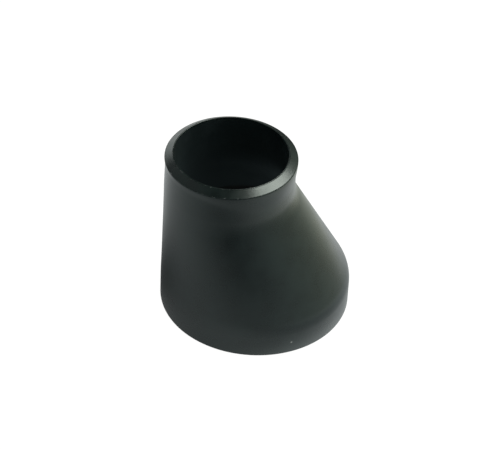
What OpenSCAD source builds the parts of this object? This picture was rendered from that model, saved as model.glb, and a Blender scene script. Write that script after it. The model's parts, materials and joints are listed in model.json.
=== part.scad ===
// Eccentric butt-weld pipe reducer: one seamless forming that joins two pipe sizes
// and keeps one side of the run straight.
// The frame stands on the large end: z = 0 is the large end face, the large bore is
// centred on the origin, +Z follows the run and the straight side faces -X.
// Dimensions are in millimetres.

/* [Large end] */
// Outside diameter of the large end
large_od = 88.9; // [84:0.1:105]
// Wall thickness at the large end
large_wall = 5.49; // [3:0.01:8]
// Length of the straight part at the large end
large_tangent = 14; // [8:0.5:18]

/* [Small end] */
// Outside diameter of the small end
small_od = 60.3; // [48:0.1:66]
// Wall thickness at the small end
small_wall = 4.3; // [3:0.01:6]
// Length of the straight part at the small end
small_tangent = 17; // [8:0.5:20]

/* [Run] */
// Length from one end face to the other
run_length = 90; // [85:0.5:140]
// Radius of the outer bend where the sloping side leaves the large end
shoulder_radius = 13; // [9:0.5:20]
// Radius of the outer bend where the sloping side meets the small end
neck_radius = 17; // [8:0.5:20]

/* [Weld preparation] */
// Angle of both weld bevels, measured from the end face
bevel_angle = 33; // [30:0.5:40]
// Width of the flat ring between the bore and the bevel at the large end
large_root_face = 0.9; // [0.3:0.1:2.4]
// Width of the flat ring between the bore and the bevel at the small end
small_root_face = 0.4; // [0.3:0.1:2.4]

/* [Hidden] */
$fn = 180;
varnish_black = [0.16, 0.17, 0.17];
// Flat facets round the transition, and slices along it
facets = 72;
slices = 16;
// The transition's facets stay this far inside the wall of the straight ends, and run
// this far into them, so that the three lengths join in one solid
join_step = 0.04;
join_overlap = 1;

large_radius = large_od / 2;
small_radius = small_od / 2;
large_bore_radius = large_radius - large_wall;
small_bore_radius = small_radius - small_wall;
// The straight side is at x = -large_radius over the whole run
small_end_x = small_radius - large_radius;
rise = run_length - large_tangent - small_tangent;

// Angle from the axis of a straight slope that lies between two bends and steps in
function slope_angle(step, bends) =
    atan2(step - bends, rise) + asin(bends / norm([rise, step - bends]));

// How far the sloping side has moved in at height z above the large straight end:
// a convex arc, a straight slope and a concave arc, each tangent to the next
function moved_in(z, step, convex, concave) =
    let (a = slope_angle(step, convex + concave))
    z < convex * sin(a) ? convex - sqrt(convex * convex - z * z) :
    z < rise - concave * sin(a) ? convex * (1 - cos(a)) + (z - convex * sin(a)) * tan(a) :
    step - concave + sqrt(concave * concave - (rise - z) * (rise - z));

// Round sections [centre x, radius, z] of a surface that narrows from radius r0 on the
// large end's axis to radius r1 on the small end's, with an overlap at each end
function sections(r0, r1, convex, concave) =
    let (
        sloping_step = r0 - r1 - small_end_x,
        straight_step = r0 - r1 + small_end_x
    )
    [for (i = [-1:slices + 1])
        let (
            z = rise * min(max(i, 0), slices) / slices,
            overlap = i < 0 ? -join_overlap : i > slices ? join_overlap : 0,
            share = moved_in(z, sloping_step, convex, concave) / sloping_step,
            sloping_x = r0 - sloping_step * share,
            straight_x = -r0 + straight_step * share
        )
        [(straight_x + sloping_x) / 2, (sloping_x - straight_x) / 2, large_tangent + z + overlap]
    ];

function corners(section, radius) =
    [for (i = [0:facets - 1])
        [section[0] + radius * cos(360 * i / facets), radius * sin(360 * i / facets), section[2]]];

// Hollow solid between two lists of sections
module skin(outer, inner) {
    levels = len(outer);
    inner_start = levels * facets;
    outer_points = [for (s = outer) each corners(s, s[1] - join_step)];
    inner_points = [for (s = inner) each corners(s, (s[1] + join_step) / cos(180 / facets))];
    sides = [
        for (k = [0:levels - 2], i = [0:facets - 1])
            let (next = (i + 1) % facets, low = k * facets, high = low + facets)
            each [
                [low + i, high + i, high + next, low + next],
                [for (p = [low + i, low + next, high + next, high + i]) p + inner_start]
            ]
    ];
    ends = [
        for (i = [0:facets - 1])
            let (next = (i + 1) % facets, top = inner_start - facets)
            each [
                [i, next, inner_start + next, inner_start + i],
                [top + i, inner_start + top + i, inner_start + top + next, top + next]
            ]
    ];
    polyhedron(points = concat(outer_points, inner_points), faces = concat(sides, ends));
}

module transition() {
    skin(
        sections(large_radius, small_radius, shoulder_radius, neck_radius),
        sections(
            large_bore_radius, small_bore_radius,
            shoulder_radius - large_wall, neck_radius + small_wall
        )
    );
}

// Straight length of pipe with a weld bevel round its end face at z = 0
module straight_end(radius, wall, root_face, length) {
    bore_radius = radius - wall;
    bevel_depth = (wall - root_face) * tan(bevel_angle);
    rotate_extrude()
        polygon([
            [bore_radius, 0],
            [bore_radius + root_face, 0],
            [radius, bevel_depth],
            [radius, length],
            [bore_radius, length]
        ]);
}

module reducer_body() {
    color(varnish_black) {
        straight_end(large_radius, large_wall, large_root_face, large_tangent);
        transition();
        translate([small_end_x, 0, run_length])
            mirror([0, 0, 1])
                straight_end(small_radius, small_wall, small_root_face, small_tangent);
    }
}

reducer_body();
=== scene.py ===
"""Looks for the eccentric pipe reducer: a formed steel body under black varnish, with a
turned weld bevel on each end. Everything is in metres, in the part's own frame."""

import json
import math

import bpy
from mathutils import Matrix, Quaternion, Vector, noise


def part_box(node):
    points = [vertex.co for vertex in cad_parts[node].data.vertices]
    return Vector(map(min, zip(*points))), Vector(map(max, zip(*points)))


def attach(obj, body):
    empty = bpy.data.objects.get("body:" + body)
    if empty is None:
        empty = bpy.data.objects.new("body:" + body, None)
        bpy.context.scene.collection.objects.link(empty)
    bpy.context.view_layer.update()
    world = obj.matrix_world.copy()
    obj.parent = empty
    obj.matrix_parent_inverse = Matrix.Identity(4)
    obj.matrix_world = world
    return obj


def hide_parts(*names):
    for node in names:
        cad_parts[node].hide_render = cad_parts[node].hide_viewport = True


MM = 0.001

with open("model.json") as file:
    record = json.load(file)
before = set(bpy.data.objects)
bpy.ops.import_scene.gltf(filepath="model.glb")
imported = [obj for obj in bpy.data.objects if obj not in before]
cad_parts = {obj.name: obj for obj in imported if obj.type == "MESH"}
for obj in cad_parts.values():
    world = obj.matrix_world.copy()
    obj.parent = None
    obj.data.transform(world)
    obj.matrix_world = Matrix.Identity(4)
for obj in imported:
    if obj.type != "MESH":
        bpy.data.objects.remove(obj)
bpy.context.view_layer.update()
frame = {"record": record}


# ---------------------------------------------------------------- sizes from the frame

mounts = {m["name"]: m for m in frame["record"]["mounts"]}


def pipe_end(name, face_z):
    """The sizes of one end, from its bore, outside and face mounts."""
    bore, outside, face = (mounts[f"{name}_end_{part}"] for part in ("bore", "outside", "face"))
    centre_x = bore["pos_m"][0]
    bore_radius = bore["dims"]["r_mm"] * MM
    straight = bore["dims"]["length_mm"] * MM
    return {
        "centre_x": centre_x,
        "bore": bore_radius,
        "outside": outside["dims"]["r_mm"] * MM,
        "root_face": 2 * (face["pos_m"][0] - centre_x - bore_radius),
        "straight": straight,
        "bevel": straight - outside["dims"]["length_mm"] * MM,
        "face_z": face_z,
        "inward": 1 if face_z == 0 else -1,
    }


high_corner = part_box("reducer_body")[1]
LARGE = pipe_end("large", 0.0)
SMALL = pipe_end("small", high_corner.z)
START = LARGE["straight"]
RISE = SMALL["face_z"] - SMALL["straight"] - START

# Bends of the sloping side, outside and inside of the wall
SHOULDER_OUT, NECK_OUT = 13 * MM, 17 * MM
SHOULDER_IN = SHOULDER_OUT - (LARGE["outside"] - LARGE["bore"])
NECK_IN = NECK_OUT + (SMALL["outside"] - SMALL["bore"])


# ---------------------------------------------------------------- body mesh

# Steps round the body, along its transition, along each straight stretch of the profile
# and round each broken edge
AROUND = 288
TRANSITION_STEPS = 56
STRAIGHT_STEPS = 24
ARRIS_STEPS = 5
# Radii of the broken edges
OUTER_ARRIS, ROOT_ARRIS, BORE_ARRIS = 0.45 * MM, 0.7 * MM, 0.18 * MM
# The wall draws in below the small end's bevel, so that the edge of the bevel stands
# proud: this deep, and deepest this far down, on the straight and on the sloping side
WAIST_DEPTH = (0.30 * MM, 0.80 * MM)
WAIST_BELOW = (3 * MM, 10 * MM)
# Length over which the waist runs out, and how much sooner round the body it moves down
# than it deepens
WAIST_FADE = 15 * MM
WAIST_LEAD = 1.6
# Depth of the unevenness that forming leaves, and how far it runs
FORMING_DEPTH = 0.16 * MM
FORMING_SCALE = 22 * MM

# Zones of the skin, in the order of the body's materials
ZONES = ("formed", "turned", "bore")


def circle(centre, radius, count):
    """Points round a level circle."""
    turns = [2 * math.pi * k / count for k in range(count)]
    return [centre + Vector((math.cos(a), math.sin(a), 0)) * radius for a in turns]


def smooth(t):
    """Share that rises from 0 at t = 0 to 1 at t = 1 with level ends."""
    t = min(max(t, 0), 1)
    return t * t * (3 - 2 * t)


def slope_angle(step, bends):
    """Angle from the run of a straight slope that lies between two bends and steps in."""
    return math.atan2(step - bends, RISE) + math.asin(bends / math.hypot(RISE, step - bends))


def moved_in(z, step, convex, concave):
    """How far the sloping side has moved in at height z above the large straight end."""
    a = slope_angle(step, convex + concave)
    if z < convex * math.sin(a):
        return convex - math.sqrt(convex**2 - z**2)
    if z < RISE - concave * math.sin(a):
        return convex * (1 - math.cos(a)) + (z - convex * math.sin(a)) * math.tan(a)
    return step - concave + math.sqrt(max(concave**2 - (RISE - z) ** 2, 0))


def transition(side, convex, concave, zone):
    """Sections between the straight ends, as (centre x, radius, z, zone)."""
    r0, r1, end_x = LARGE[side], SMALL[side], SMALL["centre_x"]
    sloping_step = r0 - r1 - end_x
    straight_step = r0 - r1 + end_x
    rings = []
    for i in range(1, TRANSITION_STEPS):
        z = RISE * i / TRANSITION_STEPS
        share = moved_in(z, sloping_step, convex, concave) / sloping_step
        sloping_x = r0 - sloping_step * share
        straight_x = -r0 + straight_step * share
        rings.append(((straight_x + sloping_x) / 2, (sloping_x - straight_x) / 2, START + z, zone))
    return rings


def arris(before, corner, after, radius, zone):
    """Points of an arc that breaks the corner between two straight stretches, in (r, z)."""
    p, c, q = Vector(before), Vector(corner), Vector(after)
    to_p, to_q = (p - c).normalized(), (q - c).normalized()
    half = to_p.angle(to_q) / 2
    centre = c + (to_p + to_q).normalized() * (radius / math.sin(half))
    start = c + to_p * (radius / math.tan(half)) - centre
    end = c + to_q * (radius / math.tan(half)) - centre
    points = []
    for i in range(ARRIS_STEPS + 1):
        t = i / ARRIS_STEPS
        points.append(centre + (start * (1 - t) + end * t).normalized() * radius)
    return [(v.x, v.y, zone) for v in points]


def stretch(a, b, steps, zone):
    """Points between a and b in (r, z), without the two ends."""
    points = []
    for i in range(1, steps):
        t = i / steps
        points.append((a[0] + (b[0] - a[0]) * t, a[1] + (b[1] - a[1]) * t, zone))
    return points


def end_rings(end):
    """Rings of one end, from its bore round the end face and bevel to its outside."""
    bore_deep = (end["bore"], end["straight"])
    bore_edge = (end["bore"], 0.0)
    root_edge = (end["bore"] + end["root_face"], 0.0)
    bevel_edge = (end["outside"], end["bevel"])
    outside_deep = (end["outside"], end["straight"])
    profile = [
        (*bore_deep, "bore"),
        *stretch(bore_deep, bore_edge, STRAIGHT_STEPS, "bore"),
        *arris(bore_deep, bore_edge, root_edge, BORE_ARRIS, "turned"),
        *arris(bore_edge, root_edge, bevel_edge, ROOT_ARRIS, "turned"),
        *stretch(root_edge, bevel_edge, STRAIGHT_STEPS, "turned"),
        *arris(root_edge, bevel_edge, outside_deep, OUTER_ARRIS, "formed"),
        *stretch(bevel_edge, outside_deep, STRAIGHT_STEPS, "formed"),
        (*outside_deep, "formed"),
    ]
    return [
        (end["centre_x"], r, end["face_z"] + end["inward"] * depth, zone)
        for r, depth, zone in profile
    ]


def body_rings():
    """All rings in one loop: up the outside and back down the inside."""
    outside = transition("outside", SHOULDER_OUT, NECK_OUT, "formed")
    inside = transition("bore", SHOULDER_IN, NECK_IN, "bore")
    return [*end_rings(LARGE), *outside, *end_rings(SMALL)[::-1], *inside[::-1]]


def forming_dent(point):
    """Depth of the shallow unevenness at a point of the formed surface, 0 at the ends."""
    share = (point.z - START) / RISE
    if not 0 < share < 1:
        return 0.0
    fade = math.sin(math.pi * share) ** 0.5
    wave = noise.noise(point / FORMING_SCALE) * 0.5 + 0.5
    return FORMING_DEPTH * fade * min(max(wave, 0), 1)


def between(pair, share):
    """Value between the two of a pair."""
    return pair[0] + (pair[1] - pair[0]) * share


def waist(point):
    """How far the wall draws in at a point below the small end's bevel."""
    below = SMALL["face_z"] - SMALL["bevel"] - point.z
    sloping = 0.5 + 0.5 * (point.x - SMALL["centre_x"]) / SMALL["outside"]
    deepest = between(WAIST_BELOW, smooth(WAIST_LEAD * sloping))
    fade = smooth((below - deepest) / WAIST_FADE)
    return between(WAIST_DEPTH, sloping) * smooth(below / deepest) * (1 - fade)


def body_mesh():
    """The whole body as one closed skin, with a material index for each face's zone."""
    rings = body_rings()
    points = []
    for centre_x, radius, z, zone in rings:
        for across in circle(Vector(), 1, AROUND):
            p = Vector((centre_x, 0, z)) + across * radius
            if zone == "formed":
                p -= across * (forming_dent(p) + waist(p))
            points.append(p)
    faces, zones = [], []
    for i, ring in enumerate(rings):
        following = (i + 1) % len(rings)
        for k in range(AROUND):
            beside = (k + 1) % AROUND
            faces.append((
                i * AROUND + k,
                i * AROUND + beside,
                following * AROUND + beside,
                following * AROUND + k,
            ))
            pair = {ring[3], rings[following][3]}
            zones.append(ZONES.index("turned" if pair == {"turned", "bore"} else ring[3]))
    mesh = bpy.data.meshes.new("reducer")
    mesh.from_pydata([tuple(p) for p in points], [], faces)
    mesh.polygons.foreach_set("material_index", zones)
    mesh.polygons.foreach_set("use_smooth", [True] * len(faces))
    mesh.update()
    return mesh


# ---------------------------------------------------------------- materials

# How strongly the varnish reflects head on, where 0.5 is ordinary paint
VARNISH_GLOSS = 0.36
# Head-on reflections are slightly green
VARNISH_TINT = (0.90, 1.0, 0.965, 1)
# Darkest and palest colour of each finish, and its lowest and highest roughness
FORMED_COLOURS = ((0.0024, 0.0048, 0.0052), (0.0038, 0.0076, 0.0078))
TURNED_COLOURS = ((0.0009, 0.0028, 0.0026), (0.0015, 0.0044, 0.0040))
BORE_COLOURS = ((0.0015, 0.0032, 0.0035), (0.0025, 0.0050, 0.0055))
OUTSIDE_ROUGHNESS = (0.25, 0.32)
BORE_ROUGHNESS = (0.42, 0.52)
# Fleck of bare metal in the varnish: its colour, a place near its middle, and its radius
FLECK_COLOUR = (0.16, 0.17, 0.16)
FLECK_PLACE = (1.5 * MM, -44.4 * MM, 8.8 * MM)
FLECK_RADIUS = 0.60 * MM


class Nodes:
    """Short calls for the nodes of one material."""

    def __init__(self, name):
        self.material = bpy.data.materials.new(name)
        self.material.use_nodes = True
        self.tree = self.material.node_tree
        self.shader = self.tree.nodes["Principled BSDF"]
        self.shader.inputs["Specular IOR Level"].default_value = VARNISH_GLOSS
        self.shader.inputs["Specular Tint"].default_value = VARNISH_TINT
        self.position = self.tree.nodes.new("ShaderNodeTexCoord").outputs["Object"]

    def put(self, socket, value):
        """Link or set a socket."""
        if isinstance(value, bpy.types.NodeSocket):
            self.tree.links.new(value, socket)
        else:
            socket.default_value = value

    def math(self, operation, a, b=0.0, c=0.0):
        node = self.tree.nodes.new("ShaderNodeMath")
        node.operation = operation
        for socket, value in zip(node.inputs, (a, b, c)):
            self.put(socket, value)
        return node.outputs[0]

    def noise(self, size, detail, roughness=0.5):
        """Noise from 0 to 1 whose features are about `size` metres across."""
        node = self.tree.nodes.new("ShaderNodeTexNoise")
        self.put(node.inputs["Vector"], self.position)
        node.inputs["Scale"].default_value = 1 / size
        node.inputs["Detail"].default_value = detail
        node.inputs["Roughness"].default_value = roughness
        return node.outputs["Fac"]

    def span(self, value, low, high, new_low, new_high):
        """Smooth step from new_low where the value is low to new_high where it is high."""
        node = self.tree.nodes.new("ShaderNodeMapRange")
        node.interpolation_type = "SMOOTHSTEP"
        for socket, number in zip(node.inputs, (value, low, high, new_low, new_high)):
            self.put(socket, number)
        return node.outputs[0]

    def spot(self, place, radius):
        """1 at a place on the surface, falling to 0 at a radius from it."""
        node = self.tree.nodes.new("ShaderNodeVectorMath")
        node.operation = "DISTANCE"
        self.put(node.inputs[0], self.position)
        node.inputs[1].default_value = place
        return self.span(node.outputs["Value"], radius, 0.4 * radius, 0, 1)

    def mix(self, share, a, b):
        """Colour from a to b, each a socket or three numbers."""
        node = self.tree.nodes.new("ShaderNodeMix")
        node.data_type = "RGBA"
        self.put(node.inputs[0], share)
        for socket, colour in zip(node.inputs[6:8], (a, b)):
            self.put(socket, colour if isinstance(colour, bpy.types.NodeSocket) else (*colour, 1))
        return node.outputs[2]

    def mottle(self, tone, colours, roughness):
        """Colour and roughness that wander together between their two values, over the
        middle range that a noise keeps to."""
        colour = self.mix(self.span(tone, 0.35, 0.65, 0, 1), *colours)
        return colour, self.span(tone, 0.3, 0.7, *roughness)

    def bump(self, height, depth, under=None):
        """Bump whose height of 1 stands `depth` metres high, over the one under it."""
        node = self.tree.nodes.new("ShaderNodeBump")
        self.put(node.inputs["Height"], height)
        node.inputs["Distance"].default_value = depth
        if under is not None:
            self.put(node.inputs["Normal"], under)
        return node.outputs[0]

    def finish(self, colour, roughness, normal):
        """The finished material."""
        self.put(self.shader.inputs["Base Color"], colour)
        self.put(self.shader.inputs["Roughness"], roughness)
        self.put(self.shader.inputs["Normal"], normal)
        return self.material


def varnished_steel():
    """Black varnish over the formed wall: satin, with soft cloudy patches and orange peel,
    and one fleck of bare metal."""
    n = Nodes("varnished_steel")
    clouds = n.noise(26 * MM, detail=4)
    patches = n.noise(7 * MM, detail=3)
    peel = n.noise(0.9 * MM, detail=2)
    tone = n.math("MULTIPLY_ADD", patches, 0.4, n.math("MULTIPLY", clouds, 0.6))
    colour, roughness = n.mottle(tone, FORMED_COLOURS, OUTSIDE_ROUGHNESS)
    colour = n.mix(n.spot(FLECK_PLACE, FLECK_RADIUS), colour, FLECK_COLOUR)
    soft = n.bump(patches, 0.035 * MM)
    return n.finish(colour, roughness, n.bump(peel, 0.003 * MM, soft))


def turned_steel():
    """The weld bevel and root face: fine turning lines showing through thin varnish."""
    n = Nodes("turned_steel")
    split = n.tree.nodes.new("ShaderNodeSeparateXYZ")
    n.put(split.inputs[0], n.position)
    lines = n.tree.nodes.new("ShaderNodeTexNoise")
    lines.noise_dimensions = "1D"
    n.put(lines.inputs["W"], split.outputs["Z"])
    lines.inputs["Scale"].default_value = 1 / (0.5 * MM)
    lines.inputs["Detail"].default_value = 4
    colour, roughness = n.mottle(n.noise(9 * MM, detail=3), TURNED_COLOURS, OUTSIDE_ROUGHNESS)
    return n.finish(colour, roughness, n.bump(lines.outputs["Fac"], 0.030 * MM))


def varnished_bore():
    """The inside of the wall: duller black, with mill scale under the varnish."""
    n = Nodes("varnished_bore")
    clouds = n.noise(14 * MM, detail=5, roughness=0.6)
    scale = n.noise(1.6 * MM, detail=4, roughness=0.6)
    colour, roughness = n.mottle(clouds, BORE_COLOURS, BORE_ROUGHNESS)
    return n.finish(colour, roughness, n.bump(scale, 0.03 * MM))


# ---------------------------------------------------------------- body

body = bpy.data.objects.new("reducer", body_mesh())
bpy.context.scene.collection.objects.link(body)
for make in (varnished_steel, turned_steel, varnished_bore):
    body.data.materials.append(make())
weighted = body.modifiers.new("even_shading", "WEIGHTED_NORMAL")
weighted.keep_sharp = True
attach(body, "root")
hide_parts("reducer_body")


# ---------------------------------------------------------------- studio

# Where the camera stands, in degrees and metres, and its lens in millimetres
CAMERA_AZIMUTH = -22.2
CAMERA_ELEVATION = 40.0
CAMERA_ROLL = 2.8
CAMERA_DISTANCE = 1.052
CAMERA_LENS = 163.6
CAMERA_TARGET = Vector((-3.2, 1.3, 43.7)) * MM
# Pale floor that bends up into a low wall all round
SWEEP_RADIUS, SWEEP_BEND, SWEEP_WALL = 1.7, 0.5, 0.35
# Corners of each round stage surface
STAGE_AROUND = 96
POOLS_AROUND = 120
# How far the sweep and the patch inside the body lie below the body's foot
SWEEP_DROP, SHADED_DROP = 0.05 * MM, 0.02 * MM
# How far outside the body's foot the light pools start
POOLS_GAP = 0.5 * MM


def direction(azimuth, elevation):
    """Unit vector from the object towards a place in the studio; azimuth 0 is at -Y."""
    a, e = math.radians(azimuth), math.radians(elevation)
    return Vector((math.sin(a) * math.cos(e), -math.cos(a) * math.cos(e), math.sin(e)))


def stage_object(name, points, faces, material):
    """A studio surface that is no part of the object."""
    mesh = bpy.data.meshes.new(name)
    mesh.from_pydata([tuple(p) for p in points], [], faces)
    mesh.materials.append(material)
    made = bpy.data.objects.new(name, mesh)
    bpy.context.scene.collection.objects.link(made)
    return made


def glowing(name, albedo, glow, colour=(1, 1, 0.995)):
    """Matt studio surface that glows evenly besides taking the lamps' light."""
    material = bpy.data.materials.new(name)
    material.use_nodes = True
    shader = material.node_tree.nodes["Principled BSDF"]
    shader.inputs["Base Color"].default_value = (albedo, albedo, albedo, 1)
    shader.inputs["Roughness"].default_value = 1.0
    shader.inputs["Specular IOR Level"].default_value = 0.0
    shader.inputs["Emission Color"].default_value = (*colour, 1)
    shader.inputs["Emission Strength"].default_value = glow
    return material


def sweep_profile(inner_radius):
    """Radius and height of a floor that curves up into a low wall."""
    flat_rings, bend_rings, wall_rings = 48, 10, 4
    ratio = (SWEEP_RADIUS - SWEEP_BEND) / inner_radius
    profile = [(inner_radius * ratio ** (i / flat_rings), 0.0) for i in range(flat_rings + 1)]
    for i in range(1, bend_rings + 1):
        a = math.pi / 2 * i / bend_rings
        in_from_wall = SWEEP_BEND * (1 - math.sin(a))
        profile.append((SWEEP_RADIUS - in_from_wall, SWEEP_BEND * (1 - math.cos(a))))
    for i in range(1, wall_rings + 1):
        profile.append((SWEEP_RADIUS, SWEEP_BEND + SWEEP_WALL * i / wall_rings))
    return profile


def make_turned(name, profile, around, material):
    """Stage surface with a profile of (radius, height) turned round the Z axis."""
    points = [p for r, z in profile for p in circle(Vector((0, 0, z)), r, around)]
    faces = []
    for i in range(len(profile) - 1):
        for k in range(around):
            low, high, beside = i * around, (i + 1) * around, (k + 1) % around
            faces.append((low + k, high + k, high + beside, low + beside))
    made = stage_object(name, points, faces, material)
    for polygon in made.data.polygons:
        polygon.use_smooth = True
    return made


def make_disc(name, centre, radius, material):
    """Level round stage surface."""
    points = circle(centre, radius, STAGE_AROUND)
    return stage_object(name, points, [range(STAGE_AROUND)], material)


def only_gloss(made):
    """Hide a stage surface from everything but reflections."""
    for ray in ("camera", "diffuse", "transmission", "volume_scatter", "shadow"):
        setattr(made, f"visible_{ray}", False)


def make_sweep():
    """Pale floor and wall. Reflections show the light pools in their place."""
    paper = glowing("sweep_paper", 0.04, 1.0)
    sweep = make_turned("sweep", sweep_profile(1 * MM), STAGE_AROUND, paper)
    sweep.location.z = -SWEEP_DROP
    sweep.visible_glossy = False


def bell(value, width):
    """1 at 0, falling off smoothly to both sides."""
    return math.exp(-((value / width) ** 2))


def turn_between(azimuth, other):
    """Degrees from the other azimuth to this one, the short way round."""
    return (azimuth - other + 180) % 360 - 180


class Place:
    """A place on the floor or wall: its bearing from the camera's side towards the right,
    in degrees, and its distances from the axes of the large and the small end."""

    def __init__(self, point):
        azimuth = math.degrees(math.atan2(point.x, -point.y))
        self.bearing = turn_between(azimuth, CAMERA_AZIMUTH)
        self.distance = math.hypot(point.x, point.y)
        self.from_neck = math.hypot(point.x - SMALL["centre_x"], point.y)

    def towards(self, bearing, spread):
        """1 at a bearing, falling off over a spread of degrees."""
        return bell(turn_between(self.bearing, bearing), spread)

    def beyond(self, start, fade):
        """0 up to a distance, rising to 1 over the fade."""
        return smooth((self.distance - start) / fade)

    def pool(self, bearing, spread, distance, width):
        """1 at a bearing and distance, falling off round it."""
        return self.towards(bearing, spread) * bell(self.distance - distance, width)

    def neck_pool(self, bearing, spread, distance, width):
        """The same, but with the distance from the small end's axis."""
        return self.towards(bearing, spread) * bell(self.from_neck - distance, width)


def floor_light(point):
    """Colour and brightness that the varnish sees at a place on the floor or wall, where 1
    is white. A product with `1 -` takes that share of the light away."""
    at = Place(point)
    light = 0.83 - 0.12 * math.cos(math.radians(at.bearing - 75))
    # Light close to the foot, and a bright ring at the right that the neck reflects
    light += 1.6 * at.pool(bearing=36, spread=36, distance=45 * MM, width=7 * MM)
    light += 0.2 * at.pool(bearing=-12, spread=28, distance=62 * MM, width=15 * MM)
    light += 0.86 * at.neck_pool(bearing=70, spread=66, distance=122 * MM, width=17 * MM)
    light += 0.31 * at.neck_pool(bearing=112, spread=24, distance=98 * MM, width=14 * MM)
    # Shade at the left of the body, and in front of it
    left_shade = direction(CAMERA_AZIMUTH - 98, 0) * 58 * MM
    from_left_shade = Vector((point.x, point.y, 0)) - left_shade
    light *= 1 - 0.90 * bell(from_left_shade.length, 52 * MM)
    light *= 1 - at.towards(bearing=-5, spread=42) * at.beyond(20 * MM, fade=240 * MM)
    # Faint pools and a shade further out at the right
    light += 0.10 * at.pool(bearing=35, spread=35, distance=120 * MM, width=50 * MM)
    light += 0.24 * at.pool(bearing=129, spread=18, distance=165 * MM, width=40 * MM)
    light -= 0.34 * at.pool(bearing=106, spread=14, distance=123 * MM, width=20 * MM)
    # Shade on the floor behind the body
    light *= 1 - 0.90 * at.towards(bearing=169, spread=16) * at.beyond(0.12, fade=0.1)
    # The wall, lighter at the right, and the shade behind the body again
    wall_light = 0.53 + 0.20 * at.towards(bearing=70, spread=35)
    light += (wall_light - light) * at.beyond(0.9, fade=0.5)
    light *= 1 - 0.80 * at.towards(bearing=163, spread=18) * at.beyond(0.4, fade=0.3)
    # Low light behind the body at the left
    low = 1 - smooth((point.z - 0.55) / 0.25)
    light += 1.5 * at.towards(bearing=-142, spread=20) * at.beyond(0.5, fade=0.5) * low
    warmth = at.towards(bearing=108, spread=60) * at.beyond(80 * MM, fade=60 * MM)
    return 0.955 * light, light, light * (1 - 0.22 * warmth), 1


def make_light_pools():
    """A copy of the floor and wall with pools of light and shade round the body, which
    only reflections show."""
    material = glowing("light_pools", 0.0, 1.0)
    profile = sweep_profile(LARGE["outside"] + POOLS_GAP)
    pools = make_turned("light_pools", profile, POOLS_AROUND, material)
    attribute = pools.data.color_attributes.new("light", "FLOAT_COLOR", "POINT")
    for vertex, entry in zip(pools.data.vertices, attribute.data):
        entry.color = floor_light(vertex.co)
    reader = material.node_tree.nodes.new("ShaderNodeVertexColor")
    reader.layer_name = "light"
    shader = material.node_tree.nodes["Principled BSDF"]
    material.node_tree.links.new(reader.outputs["Color"], shader.inputs["Emission Color"])
    only_gloss(pools)


def make_shaded_floor():
    """Painted shade: the patch of floor inside the body, which the glow of the sweep doesn't
    reach, as a darker disc with a faint painted glow.
    """
    centre, radius = Vector((0, 0, -SHADED_DROP)), LARGE["bore"] + LARGE["root_face"]
    make_disc("shaded_floor", centre, radius, glowing("shaded_paper", 0.2, 0.05))


def make_bore_glow():
    """Painted light: a dim glowing level in the bore below all that the camera sees, which only
    reflections show, so that the bore reflects a faint glow.
    """
    rings = transition("bore", SHOULDER_IN, NECK_IN, "bore")
    centre_x, radius, z = rings[len(rings) // 2][:3]
    glow = glowing("bore_glow", 0.0, 0.10, (0.75, 1, 1.05))
    only_gloss(make_disc("bore_glow", Vector((centre_x, 0, z)), radius, glow))


def softbox(name, azimuth, elevation, distance, size, brightness, colour=(1, 1, 1), tilt=0):
    """Rectangular lamp that faces the body, turned by its tilt round its own axis."""
    lamp = bpy.data.lights.new(name, "AREA")
    lamp.shape = "RECTANGLE"
    lamp.color = colour
    lamp.size, lamp.size_y = size
    lamp.energy = brightness * math.pi * lamp.size * lamp.size_y
    made = bpy.data.objects.new(name, lamp)
    toward = direction(azimuth, elevation)
    made.location = CAMERA_TARGET + toward * distance
    turn = toward.to_track_quat("Z", "Y") @ Quaternion((0, 0, 1), math.radians(tilt))
    made.rotation_euler = turn.to_euler()
    bpy.context.scene.collection.objects.link(made)
    made.visible_camera = False


def make_world():
    """The dim room round the studio."""
    world = bpy.data.worlds.new("studio")
    world.use_nodes = True
    background = world.node_tree.nodes["Background"]
    background.inputs["Color"].default_value = (0.96, 0.98, 1.0, 1)
    background.inputs["Strength"].default_value = 0.14
    bpy.context.scene.world = world


def make_camera():
    """Camera with a long lens, above the body and a little to its straight side."""
    data = bpy.data.cameras.new("camera")
    data.sensor_width = 36
    data.lens = CAMERA_LENS
    data.clip_start = 0.01
    camera = bpy.data.objects.new("camera", data)
    toward = direction(CAMERA_AZIMUTH, CAMERA_ELEVATION)
    turn = (-toward).to_track_quat("-Z", "Y") @ Quaternion((0, 0, 1), math.radians(CAMERA_ROLL))
    place = CAMERA_TARGET + toward * CAMERA_DISTANCE
    camera.matrix_world = Matrix.LocRotScale(place, turn, None)
    bpy.context.scene.collection.objects.link(camera)
    bpy.context.scene.camera = camera


make_sweep()
make_shaded_floor()
make_light_pools()
make_bore_glow()
make_world()
softbox(
    "key", azimuth=CAMERA_AZIMUTH + 104, elevation=52.8, distance=1.1, size=(0.88, 0.84),
    brightness=12.8, colour=(1, 1, 0.94), tilt=24,
)
softbox(
    "left_fill", azimuth=CAMERA_AZIMUTH - 97, elevation=48, distance=1.2, size=(0.97, 0.87),
    brightness=0.32,
)
make_camera()
bpy.context.scene.view_settings.view_transform = "Standard"
